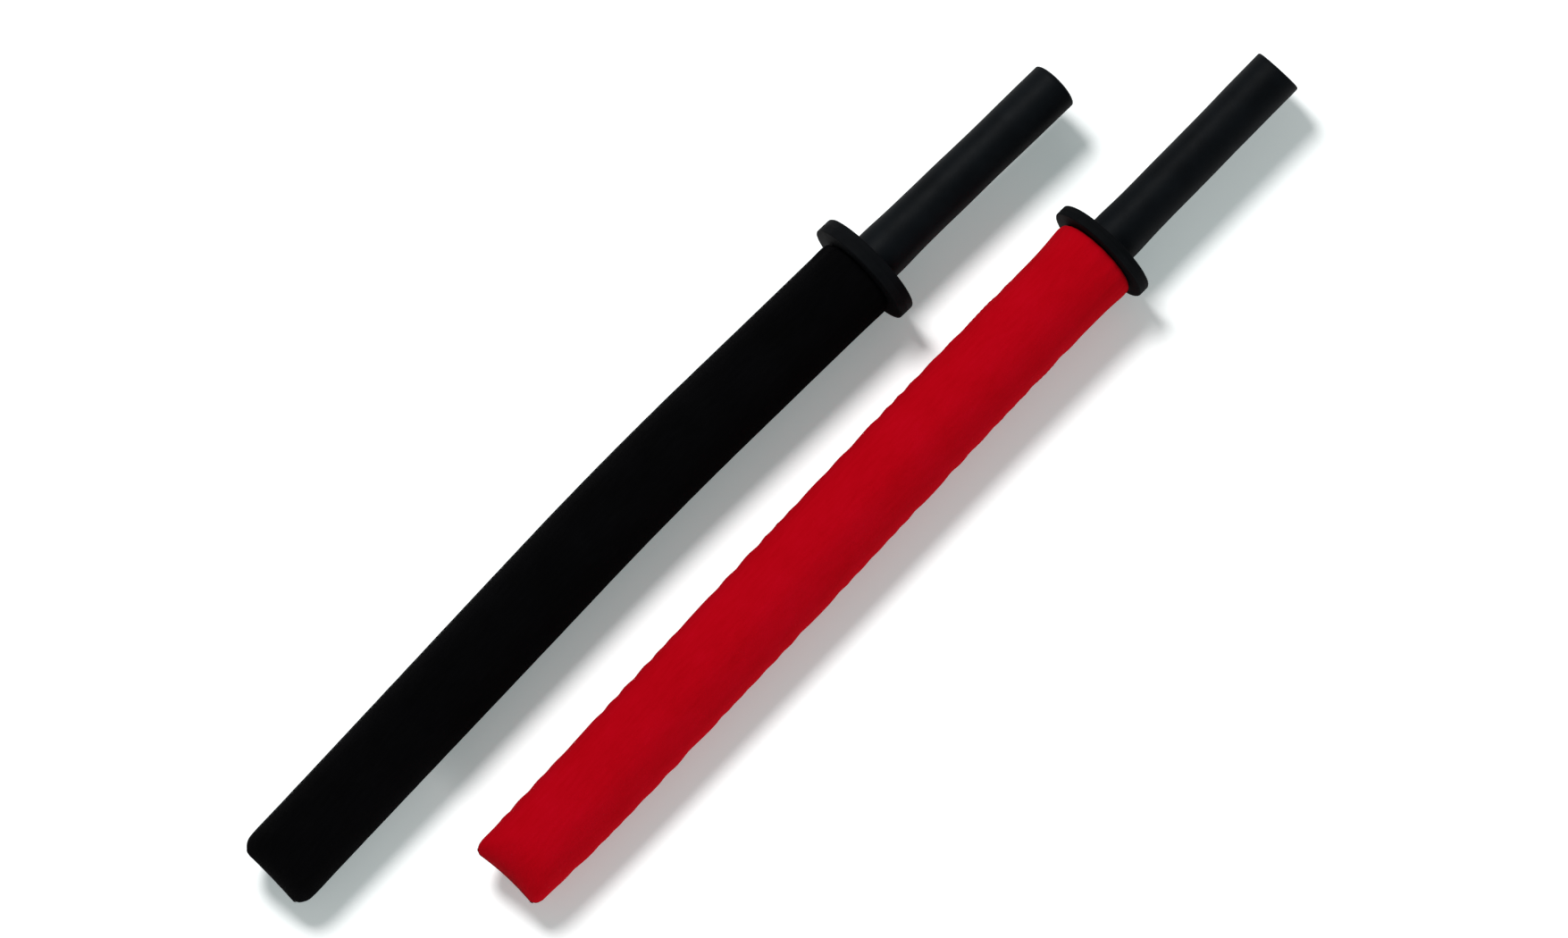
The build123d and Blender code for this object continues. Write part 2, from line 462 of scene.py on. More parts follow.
def makeFoamSkin(name):
    look, grain = foamSkins[name], foamGrain
    material, tree, shader = newMaterial(name + "Foam", look["roughness"], look["specular"])
    space = scaledCoordinates(tree, "Object", (1, 1, 1))
    cells = addNode(tree, "ShaderNodeTexVoronoi", {"Scale": look["cells"]}, feature="SMOOTH_F1")
    blotch = noiseOf(tree, space, look["blotch"], 5.0, 0.62)
    colours = rampOf(tree, blotch, *zip(grain["tones"], (look["dark"], look["light"])))
    rub = noiseOf(tree, space, look["blotch"] * grain["rub"], 4.0, 0.6)
    plain = look["roughness"]
    rough = rangeOf(tree, rub, plain - grain["smoother"], plain + grain["rougher"])
    link(tree, (space, cells.inputs["Vector"]), (colours, shader.inputs["Base Color"]),
         (rough, shader.inputs["Roughness"]))
    dimple = noiseOf(tree, space, look["cells"] * grain["dimples"], 3.0, 0.6)
    height = mathOf(tree, "ADD", mathOf(tree, "MULTIPLY", cells.outputs["Distance"], grain["cellRelief"]),
                    mathOf(tree, "MULTIPLY", dimple, grain["dimpleRelief"]))
    bumpOf(tree, shader, height, look["depth"])
    return material


# Streaks are waves to the metre along and across
plastics = {
    "pipe": {"dark": (0.60, 0.60, 0.57), "light": (0.68, 0.68, 0.66),
             "roughness": 0.34, "streak": (8, 260, 260)},
    "cap": {"dark": (0.010, 0.010, 0.011), "light": (0.016, 0.016, 0.018),
            "roughness": 0.55, "streak": (300, 300, 300)},
    "plug": {"dark": (0.012, 0.012, 0.013), "light": (0.018, 0.018, 0.020),
             "roughness": 0.45, "streak": (240, 240, 240)},
    "elastic": {"dark": (0.004, 0.004, 0.004), "light": (0.012, 0.012, 0.012),
                "roughness": 0.85, "streak": (900, 2200, 2200)},
    "thread": {"dark": (0.0022, 0.0022, 0.0026), "light": (0.0060, 0.0060, 0.0068),
               "roughness": 0.6, "streak": (3000, 3000, 3000)},
    # the red thread is darker than the cloth: partly its own colour, and partly painted shade for the dark edge
    # along the seams and the sewn end
    "redThreadAndShade": {"dark": (0.070, 0.0006, 0.0035), "light": (0.125, 0.0010, 0.0060),
                  "roughness": 0.6, "streak": (3000, 3000, 3000)},
}
plasticGrain = {
    "specular": 0.4,
    "tones": (0.35, 0.65),
    "smoother": 0.05,
    "rougher": 0.08,
    "depth": 0.00004,
}


def makePlastic(name):
    look, grain = plastics[name], plasticGrain
    material, tree, shader = newMaterial(name + "Surface", look["roughness"], grain["specular"])
    lines = noiseOf(tree, scaledCoordinates(tree, "Object", look["streak"]), 1.0, 3.0, 0.5)
    colours = rampOf(tree, lines, *zip(grain["tones"], (look["dark"], look["light"])))
    plain = look["roughness"]
    rough = rangeOf(tree, lines, plain - grain["smoother"], plain + grain["rougher"])
    link(tree, (colours, shader.inputs["Base Color"]), (rough, shader.inputs["Roughness"]))
    bumpOf(tree, shader, lines, grain["depth"])
    return material


materials = {colour + "Cloth": makeCloth(colour) for colour in cloths}
materials.update({name: makeFoamSkin(name) for name in foamSkins})
materials.update({name: makePlastic(name) for name in plastics})
print("materials made:", len(materials))


# The padded covers. Rows run from the sewn tip to the hem behind the guard, columns round the stick.
cover = {
    "columns": 64,
    "seamSteps": (0.0, 0.045, 0.115, 0.21),   # radians to the columns beside each side seam
    "rowStep": 0.0034,
    "tipRows": 13,
    "slimFrom": 0.25,        # the body slims from here to twice as far from the guard
    "flareReach": 0.020,
    "seamDepth": 0.0007,
    "seamWidth": 0.0013,
    "seamStart": 0.004,
    "seamRise": 0.00022,     # the folded edges inside lift the cloth beside the seam
    "riseFrom": 0.0036,
    "riseWidth": 0.0019,
    "lens": 1.22,            # how pointed the closing tip is at its sides
    "lipDepth": 0.0009,      # the tip's seam lies this far inside its two lips
    "lipWidth": 0.0011,
    "halfHeight": 0.027,     # nominal, where the tip is full
    "pleats": 21,
    "pleatDepth": 0.0007,
    "pleatReach": 0.016,
    "pullReach": 0.012,      # how far from the tip the drawing in and the skew die away
    "skewReach": 0.030,
    "floorGap": 0.0002,      # no point of the cover is lower than this
}
puckers = {
    "length": 0.018,         # usual length of a pucker along a side seam
    "drift": (0.45, 0.019),  # uneven spacing: how much of a pucker, and over what length
    "jitter": (0.18, 0.0083),
    "least": 0.45,           # share of the full depth where they are shallowest
    "stretch": 0.037,        # between deep and shallow stretches
    "level": 0.64,           # mean height of a scallop
    "reach": 0.009,          # how far round from the seam it dies away
    "fromGuard": (0.03, 0.05),   # where they start, and over what length
    "fromTip": (0.01, 0.03),
}


def coverAngles():
    steps = list(cover["seamSteps"])
    quarter = cover["columns"] // 4
    rest = np.linspace(steps[-1], math.pi / 2, quarter - len(steps) + 2)[1:]
    first = np.array(steps + list(rest))
    half = np.concatenate([first, (math.pi - first[:-1])[::-1]])
    return np.concatenate([half[:-1], half[:-1] + math.pi])


def smoothStep(x):
    x = np.clip(x, 0, 1)
    return x * x * (3 - 2 * x)


def flareAt(stick, distance):
    return stick["flare"] * np.exp(-(distance / cover["flareReach"]) ** 2)


def gathers(stick, angles):
    # from -1 to 1 round the stick, where the elastic draws the cloth in
    return np.sin(angles * cover["pleats"] + 2.1 * np.sin(angles * 3 + stick["seed"]))


def bodyRadius(stick, distance):
    # a little slimmer at the tip, and swelling at the guard
    full = stick["radius"]
    slim = full - (full - stick["tipRadius"]) * smoothStep(distance / cover["slimFrom"] - 1)
    return slim + flareAt(stick, distance)


def cornerWidth(fromTip, radius, corner, ear):
    inside = np.clip(fromTip, 0, corner)
    width = radius - corner + np.sqrt(corner ** 2 - (corner - inside) ** 2)
    return width + ear * np.exp(-((fromTip - 1.5 * corner) / (0.8 * corner)) ** 2)


def seamPucker(stick, distance, farSide):
    # scallops of uneven length and height, no deeper than 1, with their own run on each side
    seed = stick["seed"]
    (drift, driftLength), (jitter, jitterLength) = puckers["drift"], puckers["jitter"]
    where = distance / puckers["length"] + drift * np.sin(distance / driftLength + seed + 2.0 * farSide)
    where = where + jitter * np.sin(distance / jitterLength + 1.7 * seed) + 0.6 * farSide
    wave = np.sin(distance / puckers["stretch"] + 2.3 * seed + 3.0 * farSide) ** 2
    uneven = puckers["least"] + (1 - puckers["least"]) * wave
    ends = smoothStep((distance - puckers["fromGuard"][0]) / puckers["fromGuard"][1])
    fromTip = stick["padded"] - distance
    ends = ends * smoothStep((fromTip - puckers["fromTip"][0]) / puckers["fromTip"][1])
    return (np.abs(np.sin(math.pi * where)) - puckers["level"]) * uneven * ends


def coverPoint(stick, fromTip, rise, angle, inset=0.0):
    # fromTip is the distance behind the tip, and rise the share of its full height the section has
    distance = stick["padded"] - fromTip
    radius = bodyRadius(stick, distance) - inset
    plus, minus = stick["corners"]
    narrowing = np.exp(-(fromTip / padding["taperLength"]) ** 2)
    wide = cornerWidth(fromTip, radius - stick["taper"][0] * narrowing, plus, stick["ears"][0])
    wideFar = cornerWidth(fromTip, radius - stick["taper"][1] * narrowing, minus, stick["ears"][1])
    across = np.cos(angle) * np.where(np.cos(angle) > 0, wide, wideFar)
    closing = 1 + (cover["lens"] - 1) * (1 - rise)
    height = radius * rise * np.sign(np.sin(angle)) * np.abs(np.sin(angle)) ** closing
    # the seams at the two sides
    toSeam = np.minimum(np.abs(np.sin(angle)) * radius, 0.02)
    groove = np.exp(-(toSeam / cover["seamWidth"]) ** 2)
    lifted = np.exp(-((toSeam - cover["riseFrom"]) / cover["riseWidth"]) ** 2)
    offset = cover["seamRise"] * lifted - cover["seamDepth"] * groove
    offset = offset * smoothStep(fromTip / cover["seamStart"])
    pucker = stick["pucker"] * seamPucker(stick, distance, np.where(np.cos(angle) < 0, 1.0, 0.0))
    offset = offset + pucker * np.exp(-(toSeam / puckers["reach"]) ** 2)
    length = np.hypot(across, height) + 1e-9
    across, height = across * (1 + offset / length), height * (1 + offset / length)
    # the sewn end is drawn in between its ears
    reach = np.clip(across / (radius * 0.8), -1, 1)
    pulled = stick["tipPull"] * (1 - reach ** 2) * np.exp(-fromTip / cover["pullReach"])
    pulled = pulled + stick["tipSkew"] * across / radius * np.exp(-fromTip / cover["skewReach"])
    roll = math.radians(stick["roll"])
    sideways = across * math.cos(roll) - height * math.sin(roll)
    upwards = across * math.sin(roll) + height * math.cos(roll)
    return distance - pulled, sideways, upwards


def tipRows(inset=0.0):
    # (distance behind the tip, share of full height) down the closing end
    rows = []
    for k in range(cover["tipRows"]):
        turn = (k / (cover["tipRows"] - 1)) * math.pi / 2
        rise = math.sin(turn)
        lip = cover["lipDepth"] * math.exp(-(rise * cover["halfHeight"] / cover["lipWidth"]) ** 2)
        rows.append((padding["tipLength"] * (1 - math.cos(turn)) + lip + inset, rise))
    return rows


def profileGrid(profile, angles):
    # both numbers of every point of a profile, repeated round the given angles
    first, second = np.array(profile).T
    return first[:, None] + 0 * angles, second[:, None] + 0 * angles


def outerGrid(stick, inset=0.0):
    # the visible cloth, as an array of rows by columns by 3
    angles = coverAngles()
    tip = tipRows(inset)
    shoulder = padding["shoulder"]
    first = tip[-1][0]
    last = stick["padded"] - shoulder - 0.001
    count = int(round((last - first) / cover["rowStep"]))
    rows = tip + [(first + (last - first) * k / count, 1.0) for k in range(1, count + 1)]
    fromTip, rise = profileGrid(rows, angles)
    distance, sideways, upwards = coverPoint(stick, fromTip, rise, angles[None, :], inset)
    near = np.exp(-(distance / cover["pleatReach"]) ** 2)
    factor = 1 + cover["pleatDepth"] * near * gathers(stick, angles)[None, :] / stick["radius"]
    return distance, sideways * factor, upwards * factor


hem = {
    "centre": 0.0125,
    "radius": 0.0022,
    "flap": 0.0003,       # the flap lies this far ahead of the guard
    "shoulderRows": 5,
    "flapRows": 4,
    "turns": 7,
}


def mouthProfile(stick):
    # (distance, radius) from the shoulder down the flap and round the hem's cord
    shoulder, radius = padding["shoulder"], stick["radius"]
    profile = []
    for k in range(1, hem["shoulderRows"] + 1):
        turn = k / hem["shoulderRows"] * math.pi / 2
        profile.append((hem["flap"] + shoulder * (1 - math.sin(turn)),
                        radius - shoulder * (1 - math.cos(turn))))
    top = radius - shoulder
    low = hem["centre"] + hem["radius"]
    for k in range(1, hem["flapRows"] + 1):
        profile.append((hem["flap"], top + (low - top) * k / hem["flapRows"]))
    for k in range(hem["turns"]):
        turn = k / (hem["turns"] - 1) * math.pi
        profile.append((hem["radius"] * (1 - math.cos(turn)) + hem["flap"] / 2,
                        hem["centre"] - hem["radius"] * math.sin(turn)))
    return profile


def ringRows(stick, profile):
    # gathered rings of the given (distance, radius)
    angles = coverAngles()
    distance, radius = profileGrid(profile, angles)
    share = np.clip((radius - hem["centre"]) / (stick["radius"] - hem["centre"]), 0, 1)
    swell = flareAt(stick, distance) + cover["pleatDepth"] * gathers(stick, angles)
    radius = radius + swell * share
    roll = math.radians(stick["roll"])
    return distance, radius * np.cos(angles + roll), radius * np.sin(angles + roll)


settling = {
    "enlarge": 10.0,        # the simulation runs on a model this many times the size
    "coreInset": 0.0007,    # how far under the cloth the padding stops it
    "growth": -0.035,       # how much the slack patches of cloth outgrow the padding
    "frames": 24,
    "quality": 7,
    "mass": 0.25,
    "damping": 4.0,
    "pressure": 1.2,
    "stiffness": 18.0,
    "bending": 0.35,
    "gap": 0.004,
    "patches": 22.0,        # slack patches, and finer ones within them, to the metre
    "finePatches": 75.0,
    "smoothing": 3,         # passes that take out what is finer than the grid can show
    "levelling": 12,        # rounds of smoothing for the level that puckers are measured from
    "endRows": 6,           # the settling fades in over this many rows from each end
    "depth": {"black": 0.00013, "red": 0.00058},   # typical height of the puckers
    "most": 0.0015,         # the most that a point may move
}


def smoothed(values):
    # rows end at the tip and the guard, columns go all round
    for _ in range(settling["smoothing"]):
        inner = 0.25 * values[:-2] + 0.5 * values[1:-1] + 0.25 * values[2:]
        values = np.concatenate([values[:1], inner, values[-1:]])
        values = 0.25 * np.roll(values, 1, axis=1) + 0.5 * values + 0.25 * np.roll(values, -1, axis=1)
    return values


def gridFaces(rows, columns):
    faces = []
    for i in range(rows - 1):
        for j in range(columns):
            a, b = i * columns + j, i * columns + (j + 1) % columns
            faces.append((a, a + columns, b + columns, b))
    return faces


def gridNormals(grid):
    byRow = np.gradient(grid, axis=0)
    byColumn = np.roll(grid, -1, axis=1) - np.roll(grid, 1, axis=1)
    normal = np.cross(byRow, byColumn)
    return normal / (np.linalg.norm(normal, axis=2, keepdims=True) + 1e-12)


def settleCloth(colour, grid, core):
    # slack patches grow against the padding while the seams hold, and the cloth puckers
    stick = sticks[colour]
    size = settling["enlarge"]
    rows, columns = grid.shape[:2]
    plain = materials["padding"]
    skin = addObject(colour + "Settling", grid.reshape(-1, 3) * size, gridFaces(rows, columns), plain)
    inner = addObject(colour + "Core", core.reshape(-1, 3) * size, gridFaces(*core.shape[:2]), plain)
    inner.modifiers.new("collision", "COLLISION")
    inner.collision.thickness_outer = settling["gap"]
    held = skin.vertex_groups.new(name="held")
    slack = skin.vertex_groups.new(name="slack")
    for i in range(rows):
        fromGuard = min(1.0, (rows - 1 - i) / settling["endRows"])
        for j in range(columns):
            index = i * columns + j
            besideSeam = min(j, columns - j, abs(j - columns // 2))
            if besideSeam == 0 or i == 0 or i == rows - 1:
                held.add([index], 1.0, "REPLACE")
            spot = Vector(grid[i, j]) + Vector((stick["seed"], 0, 0))
            patch = 0.5 + 0.5 * noise.noise(spot * settling["patches"])
            fine = 0.5 + 0.5 * noise.noise(spot * settling["finePatches"])
            near = math.exp(-((besideSeam - 1.5) / 4.5) ** 2)
            loose = min(1.0, (0.25 + 0.75 * near) * (0.35 + 0.9 * patch * fine * 1.6))
            slack.add([index], loose * fromGuard, "REPLACE")
    modifier = skin.modifiers.new("cloth", "CLOTH")
    cloth, contact = modifier.settings, modifier.collision_settings
    cloth.quality = settling["quality"]
    cloth.mass = settling["mass"]
    cloth.air_damping = settling["damping"]
    cloth.tension_stiffness = settling["stiffness"]
    cloth.compression_stiffness = settling["stiffness"]
    cloth.shear_stiffness = settling["stiffness"] / 2
    cloth.bending_stiffness = settling["bending"]
    cloth.vertex_group_mass = "held"
    cloth.vertex_group_shrink = "slack"
    cloth.shrink_min = 0.0
    cloth.shrink_max = settling["growth"]
    cloth.use_pressure = True
    cloth.uniform_pressure_force = settling["pressure"]
    cloth.effector_weights.gravity = 0
    contact.collision_quality = 3
    contact.distance_min = settling["gap"]
    contact.use_self_collision = False
    modifier.point_cache.frame_end = settling["frames"]
    scene = bpy.context.scene
    for frameNumber in range(1, settling["frames"] + 1):
        scene.frame_set(frameNumber)
    evaluated = skin.evaluated_get(bpy.context.evaluated_depsgraph_get())
    moved = np.empty(rows * columns * 3)
    evaluated.data.vertices.foreach_get("co", moved)
    moved = moved.reshape(rows, columns, 3) / size
    scene.frame_set(1)
    for item in (skin, inner):
        mesh = item.data
        bpy.data.objects.remove(item)
        bpy.data.meshes.remove(mesh)
    shift = smoothed(moved - grid)
    normal = gridNormals(grid)
    out = (shift * normal).sum(axis=2, keepdims=True)
    print(colour, "cloth settled: out", round(float(out.max()) * 1000, 2),
          "in", round(float(out.min()) * 1000, 2), "mean", round(float(out.mean()) * 1000, 3),
          "spread", round(float(out.std()) * 1000, 3), "mm")
    # the rise is measured from a running mean, so that the body keeps its size
    level = out.copy()
    for _ in range(settling["levelling"]):
        level = smoothed(level)
    out = out - level
    out = out * settling["depth"][colour] / out.std()
    fromEnd = np.minimum(np.arange(rows), np.arange(rows)[::-1])
    ends = np.minimum(1, fromEnd / settling["endRows"])[:, None, None]
    return grid + np.clip(out * ends, -settling["most"], settling["most"]) * normal


def mergePoints(item, starts=(0,), count=None):
    # joins points that lie together, in each run of count points or in all, and turns the faces outwards
    mesh = bmesh.new()
    mesh.from_mesh(item.data)
    for start in starts:
        mesh.verts.ensure_lookup_table()
        run = [v for v in mesh.verts if count is None or start <= v.index < start + count]
        bmesh.ops.remove_doubles(mesh, verts=run, dist=1e-6)
        mesh.verts.index_update()
    bmesh.ops.recalc_face_normals(mesh, faces=mesh.faces)
    mesh.to_mesh(item.data)
    mesh.free()


def closedSkin(name, outer, inner, material):
    # outer rows run from the tip to the mouth, and inner rows back again
    columns = outer.shape[1]
    rows = len(outer) + len(inner)
    points = np.concatenate([outer, inner]).reshape(-1, 3)
    item = addObject(name, points, gridFaces(rows, columns), material)
    # the outer tip's joining renumbers the rest, so the hidden inner tip stays almost as it is
    mergePoints(item, (0, (rows - 1) * columns), columns)
    return item


def addClothMap(item, stick):
    # UV in metres: along the stick, and round it from the side seam
    mesh = item.data
    points = np.empty(len(mesh.vertices) * 3)
    mesh.vertices.foreach_get("co", points)
    local = points.reshape(-1, 3) - stick["origin"]
    x, y, z = local @ stick["back"], local @ stick["side"], local @ stick["up"]
    axisX, axisY, _ = axisAt(stick, np.linspace(0, stick["padded"], 400))
    turn = np.arctan2(z, y - np.interp(-x, -axisX, axisY)) - math.radians(stick["roll"])
    turn = np.arctan2(np.sin(turn), np.cos(turn))
    layer = mesh.uv_layers.new(name="clothMap")
    loops = np.empty(len(mesh.loops), dtype=int)
    mesh.loops.foreach_get("vertex_index", loops)
    around = turn[loops]
    # a face that crosses the back of the turn keeps one side's values
    starts = np.empty(len(mesh.polygons), dtype=int)
    totals = np.empty(len(mesh.polygons), dtype=int)
    mesh.polygons.foreach_get("loop_start", starts)
    mesh.polygons.foreach_get("loop_total", totals)
    for start, total in zip(starts, totals):
        part = around[start:start + total]
        if part.max() - part.min() > math.pi:
            around[start:start + total] = np.where(part < 0, part + 2 * math.pi, part)
    values = np.stack([-x[loops], around * stick["radius"]], axis=1)
    layer.data.foreach_set("uv", values.ravel())


def bake(item):
    # applies the live modifiers, so that the piece is a plain mesh
    evaluated = item.evaluated_get(bpy.context.evaluated_depsgraph_get())
    mesh = bpy.data.meshes.new_from_object(evaluated)
    old = item.data
    item.modifiers.clear()
    item.data = mesh
    bpy.data.meshes.remove(old)
    mesh.name = item.name


def makeCover(colour):
    stick = sticks[colour]
    outer = place(stick, *outerGrid(stick))
    core = place(stick, *outerGrid(stick, settling["coreInset"]))
    outer = settleCloth(colour, outer, core)
    outer[..., 2] = np.maximum(outer[..., 2], cover["floorGap"])
    mouth = place(stick, *ringRows(stick, mouthProfile(stick)))
    radius, wall = stick["radius"], padding["cloth"]
    # the inside of the mouth, from the hem out to the body
    back = [(wall, hem["centre"] + hem["radius"]), (wall, radius - padding["shoulder"]),
            (wall + 0.0013, radius - 0.0022), (padding["shoulder"] + wall, radius - wall - 0.0003)]
    innerMouth = place(stick, *ringRows(stick, back))
    inner = place(stick, *outerGrid(stick, wall + 0.0002))[::-1][2:]
    stick["outer"] = outer
    item = closedSkin(colour + "Cover", np.concatenate([outer, mouth]),
                      np.concatenate([innerMouth, inner]), materials[colour + "Cloth"])
    finer = item.modifiers.new("subdivision", "SUBSURF")
    finer.levels = 1
    finer.render_levels = 1
    bake(item)
    addClothMap(item, stick)
    print(colour, "cover", len(item.data.polygons), "faces")
    return item


# Stitches that close the side seams and the padded end, as one run of thread on each stick
stitchLook = {
    "spacing": 0.0036,
    "length": 0.0026,
    "radius": 0.00024,
    "uneven": 0.18,       # how much the lengths vary, as a share
    "lift": 0.00035,      # from the seam to the middle of the thread
    "seed": 5,
}


def stitchTree():
    tree = bpy.data.node_groups.new("stitches", "GeometryNodeTree")
    face = tree.interface
    face.new_socket("Geometry", in_out="OUTPUT", socket_type="NodeSocketGeometry")
    face.new_socket("Geometry", in_out="INPUT", socket_type="NodeSocketGeometry")
    for name in ("Spacing", "Length", "Radius", "Uneven"):
        face.new_socket(name, in_out="INPUT", socket_type="NodeSocketFloat")
    face.new_socket("Seed", in_out="INPUT", socket_type="NodeSocketInt")
    face.new_socket("Material", in_out="INPUT", socket_type="NodeSocketMaterial")
    given, out = addNode(tree, "NodeGroupInput"), addNode(tree, "NodeGroupOutput")
    curve = addNode(tree, "GeometryNodeMeshToCurve")
    spaced = addNode(tree, "GeometryNodeResampleCurve", mode="LENGTH")
    tangent = addNode(tree, "GeometryNodeInputTangent")
    turn = addNode(tree, "FunctionNodeAlignRotationToVector", axis="Z")
    thread = addNode(tree, "GeometryNodeMeshUVSphere", {"Segments": 8, "Rings": 6, "Radius": 1.0})
    low = addNode(tree, "ShaderNodeMath", {0: 1.0}, operation="SUBTRACT")
    high = addNode(tree, "ShaderNodeMath", {0: 1.0}, operation="ADD")
    vary = addNode(tree, "FunctionNodeRandomValue", data_type="FLOAT")
    half = addNode(tree, "ShaderNodeMath", {1: 0.5}, operation="MULTIPLY")
    varied = addNode(tree, "ShaderNodeMath", operation="MULTIPLY")
    size = addNode(tree, "ShaderNodeCombineXYZ")
    placed = addNode(tree, "GeometryNodeInstanceOnPoints")
    real = addNode(tree, "GeometryNodeRealizeInstances")
    painted = addNode(tree, "GeometryNodeSetMaterial")
    link(tree,
         (given.outputs["Geometry"], curve.inputs["Mesh"]),
         (curve.outputs[0], spaced.inputs["Curve"]),
         (given.outputs["Spacing"], spaced.inputs["Length"]),
         (tangent.outputs[0], turn.inputs["Vector"]),
         (given.outputs["Uneven"], low.inputs[1]),
         (given.outputs["Uneven"], high.inputs[1]),
         (low.outputs[0], vary.inputs[2]),
         (high.outputs[0], vary.inputs[3]),
         (given.outputs["Seed"], vary.inputs["Seed"]),
         (given.outputs["Length"], half.inputs[0]),
         (half.outputs[0], varied.inputs[0]),
         (vary.outputs[1], varied.inputs[1]),
         (given.outputs["Radius"], size.inputs["X"]),
         (given.outputs["Radius"], size.inputs["Y"]),
         (varied.outputs[0], size.inputs["Z"]),
         (spaced.outputs[0], placed.inputs["Points"]),
         (thread.outputs["Mesh"], placed.inputs["Instance"]),
         (turn.outputs[0], placed.inputs["Rotation"]),
         (size.outputs[0], placed.inputs["Scale"]),
         (placed.outputs[0], real.inputs[0]),
         (real.outputs[0], painted.inputs["Geometry"]),
         (given.outputs["Material"], painted.inputs["Material"]),
         (painted.outputs[0], out.inputs[0]))
    return tree


def seamPath(stick):
    # down one side seam from the guard, across the sewn end, and back up the other side
    grid = stick["outer"]
    half = grid.shape[1] // 2
    centres = grid.mean(axis=1)
    ahead = centres[0] - centres[4]
    ahead /= np.linalg.norm(ahead)
    path = []
    for column, rows in ((0, range(len(grid) - 2, 1, -1)), (half, range(2, len(grid) - 1))):
        side = []
        for i in rows:
            out = grid[i, column] - centres[i]
            side.append(grid[i, column] + out / np.linalg.norm(out) * stitchLook["lift"])
        path.append(side)
    end = [grid[0, j] + ahead * stitchLook["lift"] for j in range(2, half - 1)]
    return path[0] + end + path[1]


def makeStitches(colour, tree):
    stick = sticks[colour]
    path = seamPath(stick)
    mesh = bpy.data.meshes.new(colour + "Stitches")
    mesh.from_pydata([tuple(p) for p in path], [(i, i + 1) for i in range(len(path) - 1)], [])
    item = bpy.data.objects.new(colour + "Stitches", mesh)
    bpy.context.scene.collection.objects.link(item)
    modifier = item.modifiers.new("stitches", "NODES")
    modifier.node_group = tree
    sockets = {socket.name: socket.identifier for socket in tree.interface.items_tree
               if socket.in_out == "INPUT"}
    for name in ("Spacing", "Length", "Radius", "Uneven"):
        modifier[sockets[name]] = stitchLook[name.lower()]
    modifier[sockets["Seed"]] = stitchLook["seed"] + stick["seed"]
    # on the red stick the dark thread also carries painted shade along the seams and the sewn end
    modifier[sockets["Material"]] = materials["redThreadAndShade" if colour == "red" else "thread"]
    bake(item)
    item.data.polygons.foreach_set("use_smooth", [True] * len(item.data.polygons))
    print(colour, "stitches", len(item.data.polygons), "faces")
    return item


# Guard and grip are turned shapes with a little unevenness
pipeBore = 0.0101         # radius of the hole for the pipe in guard, grip and padding
guardLook = {
    "rim": 0.0014,
    "columns": 96,
    "uneven": 0.00025,
    "lumps": 60.0,        # unevenness, waves to the metre
}
gripLook = {
    "columns": 64,
    "step": 0.0022,
    "fuller": 0.0005,     # how much fuller the foam is than its nominal radius
    "uneven": 0.00030,
    "lumps": 26.0,
    "swell": 0.0006,      # fuller again beside the guard
    "swellAt": 0.010,
    "swellReach": 0.014,
    "waist": 0.0004,
    "endWall": 0.008,
    "domeShape": 0.62,    # 1 is a plain round, and less is fuller at the edge
}


def turnedSkin(name, stick, profile, columns, uneven, scale, material, slant=0.0):
    # profile is (distance, radius) pairs from an open bore or a closed pole to another
    angles = np.linspace(0, 2 * math.pi, columns, endpoint=False)
    distance, radius = profileGrid(profile, angles)
    for i in range(len(profile)):
        if profile[i][1] < 0.0005:
            continue
        for j, angle in enumerate(angles):
            spot = Vector((distance[i, j] * 0.5, radius[i, j] * math.cos(angle),
                           radius[i, j] * math.sin(angle)))
            spot = spot * scale + Vector((stick["seed"], 0, 0))
            radius[i, j] += uneven * noise.fractal(spot, 0.9, 2.0, 3)
    # a slanting cut moves the last few centimetres, more the further from the axis they are
    share = smoothStep((-distance - stick["butt"] + 0.030) / 0.025)
    distance = distance + slant * share * radius * np.sin(angles)
    points = place(stick, distance, radius * np.cos(angles), radius * np.sin(angles))
    item = addObject(name, points.reshape(-1, 3), gridFaces(len(profile), columns), material)
    mergePoints(item)
    return item


def arc(centre, radius, start, end, steps):
    return [(centre[0] + radius * math.cos(a), centre[1] + radius * math.sin(a))
            for a in np.radians(np.linspace(start, end, steps))]


def makeGuard(colour):
    stick = sticks[colour]
    thick, wide, rim = stick["guardThickness"], stick["guardRadius"], guardLook["rim"]
    bore = pipeBore
    profile = [(-thick, bore), (-thick, bore + 0.004), (-thick, (bore + wide) / 2)]
    profile += arc((-thick + rim, wide - rim), rim, 180, 90, 7)
    profile += [(-thick * 0.53, wide), (-thick * 0.505, wide + 0.00012), (-thick * 0.48, wide)]
    profile += arc((-rim * 0.6, wide - rim * 0.6), rim * 0.6, 90, 0, 6)
    profile += [(0.0, (bore + wide) / 2), (0.0, bore + 0.004), (0.0, bore)]
    profile += [(-thick, bore)]
    return turnedSkin(colour + "Guard", stick, profile, guardLook["columns"], guardLook["uneven"],
                      guardLook["lumps"], materials["guard"])


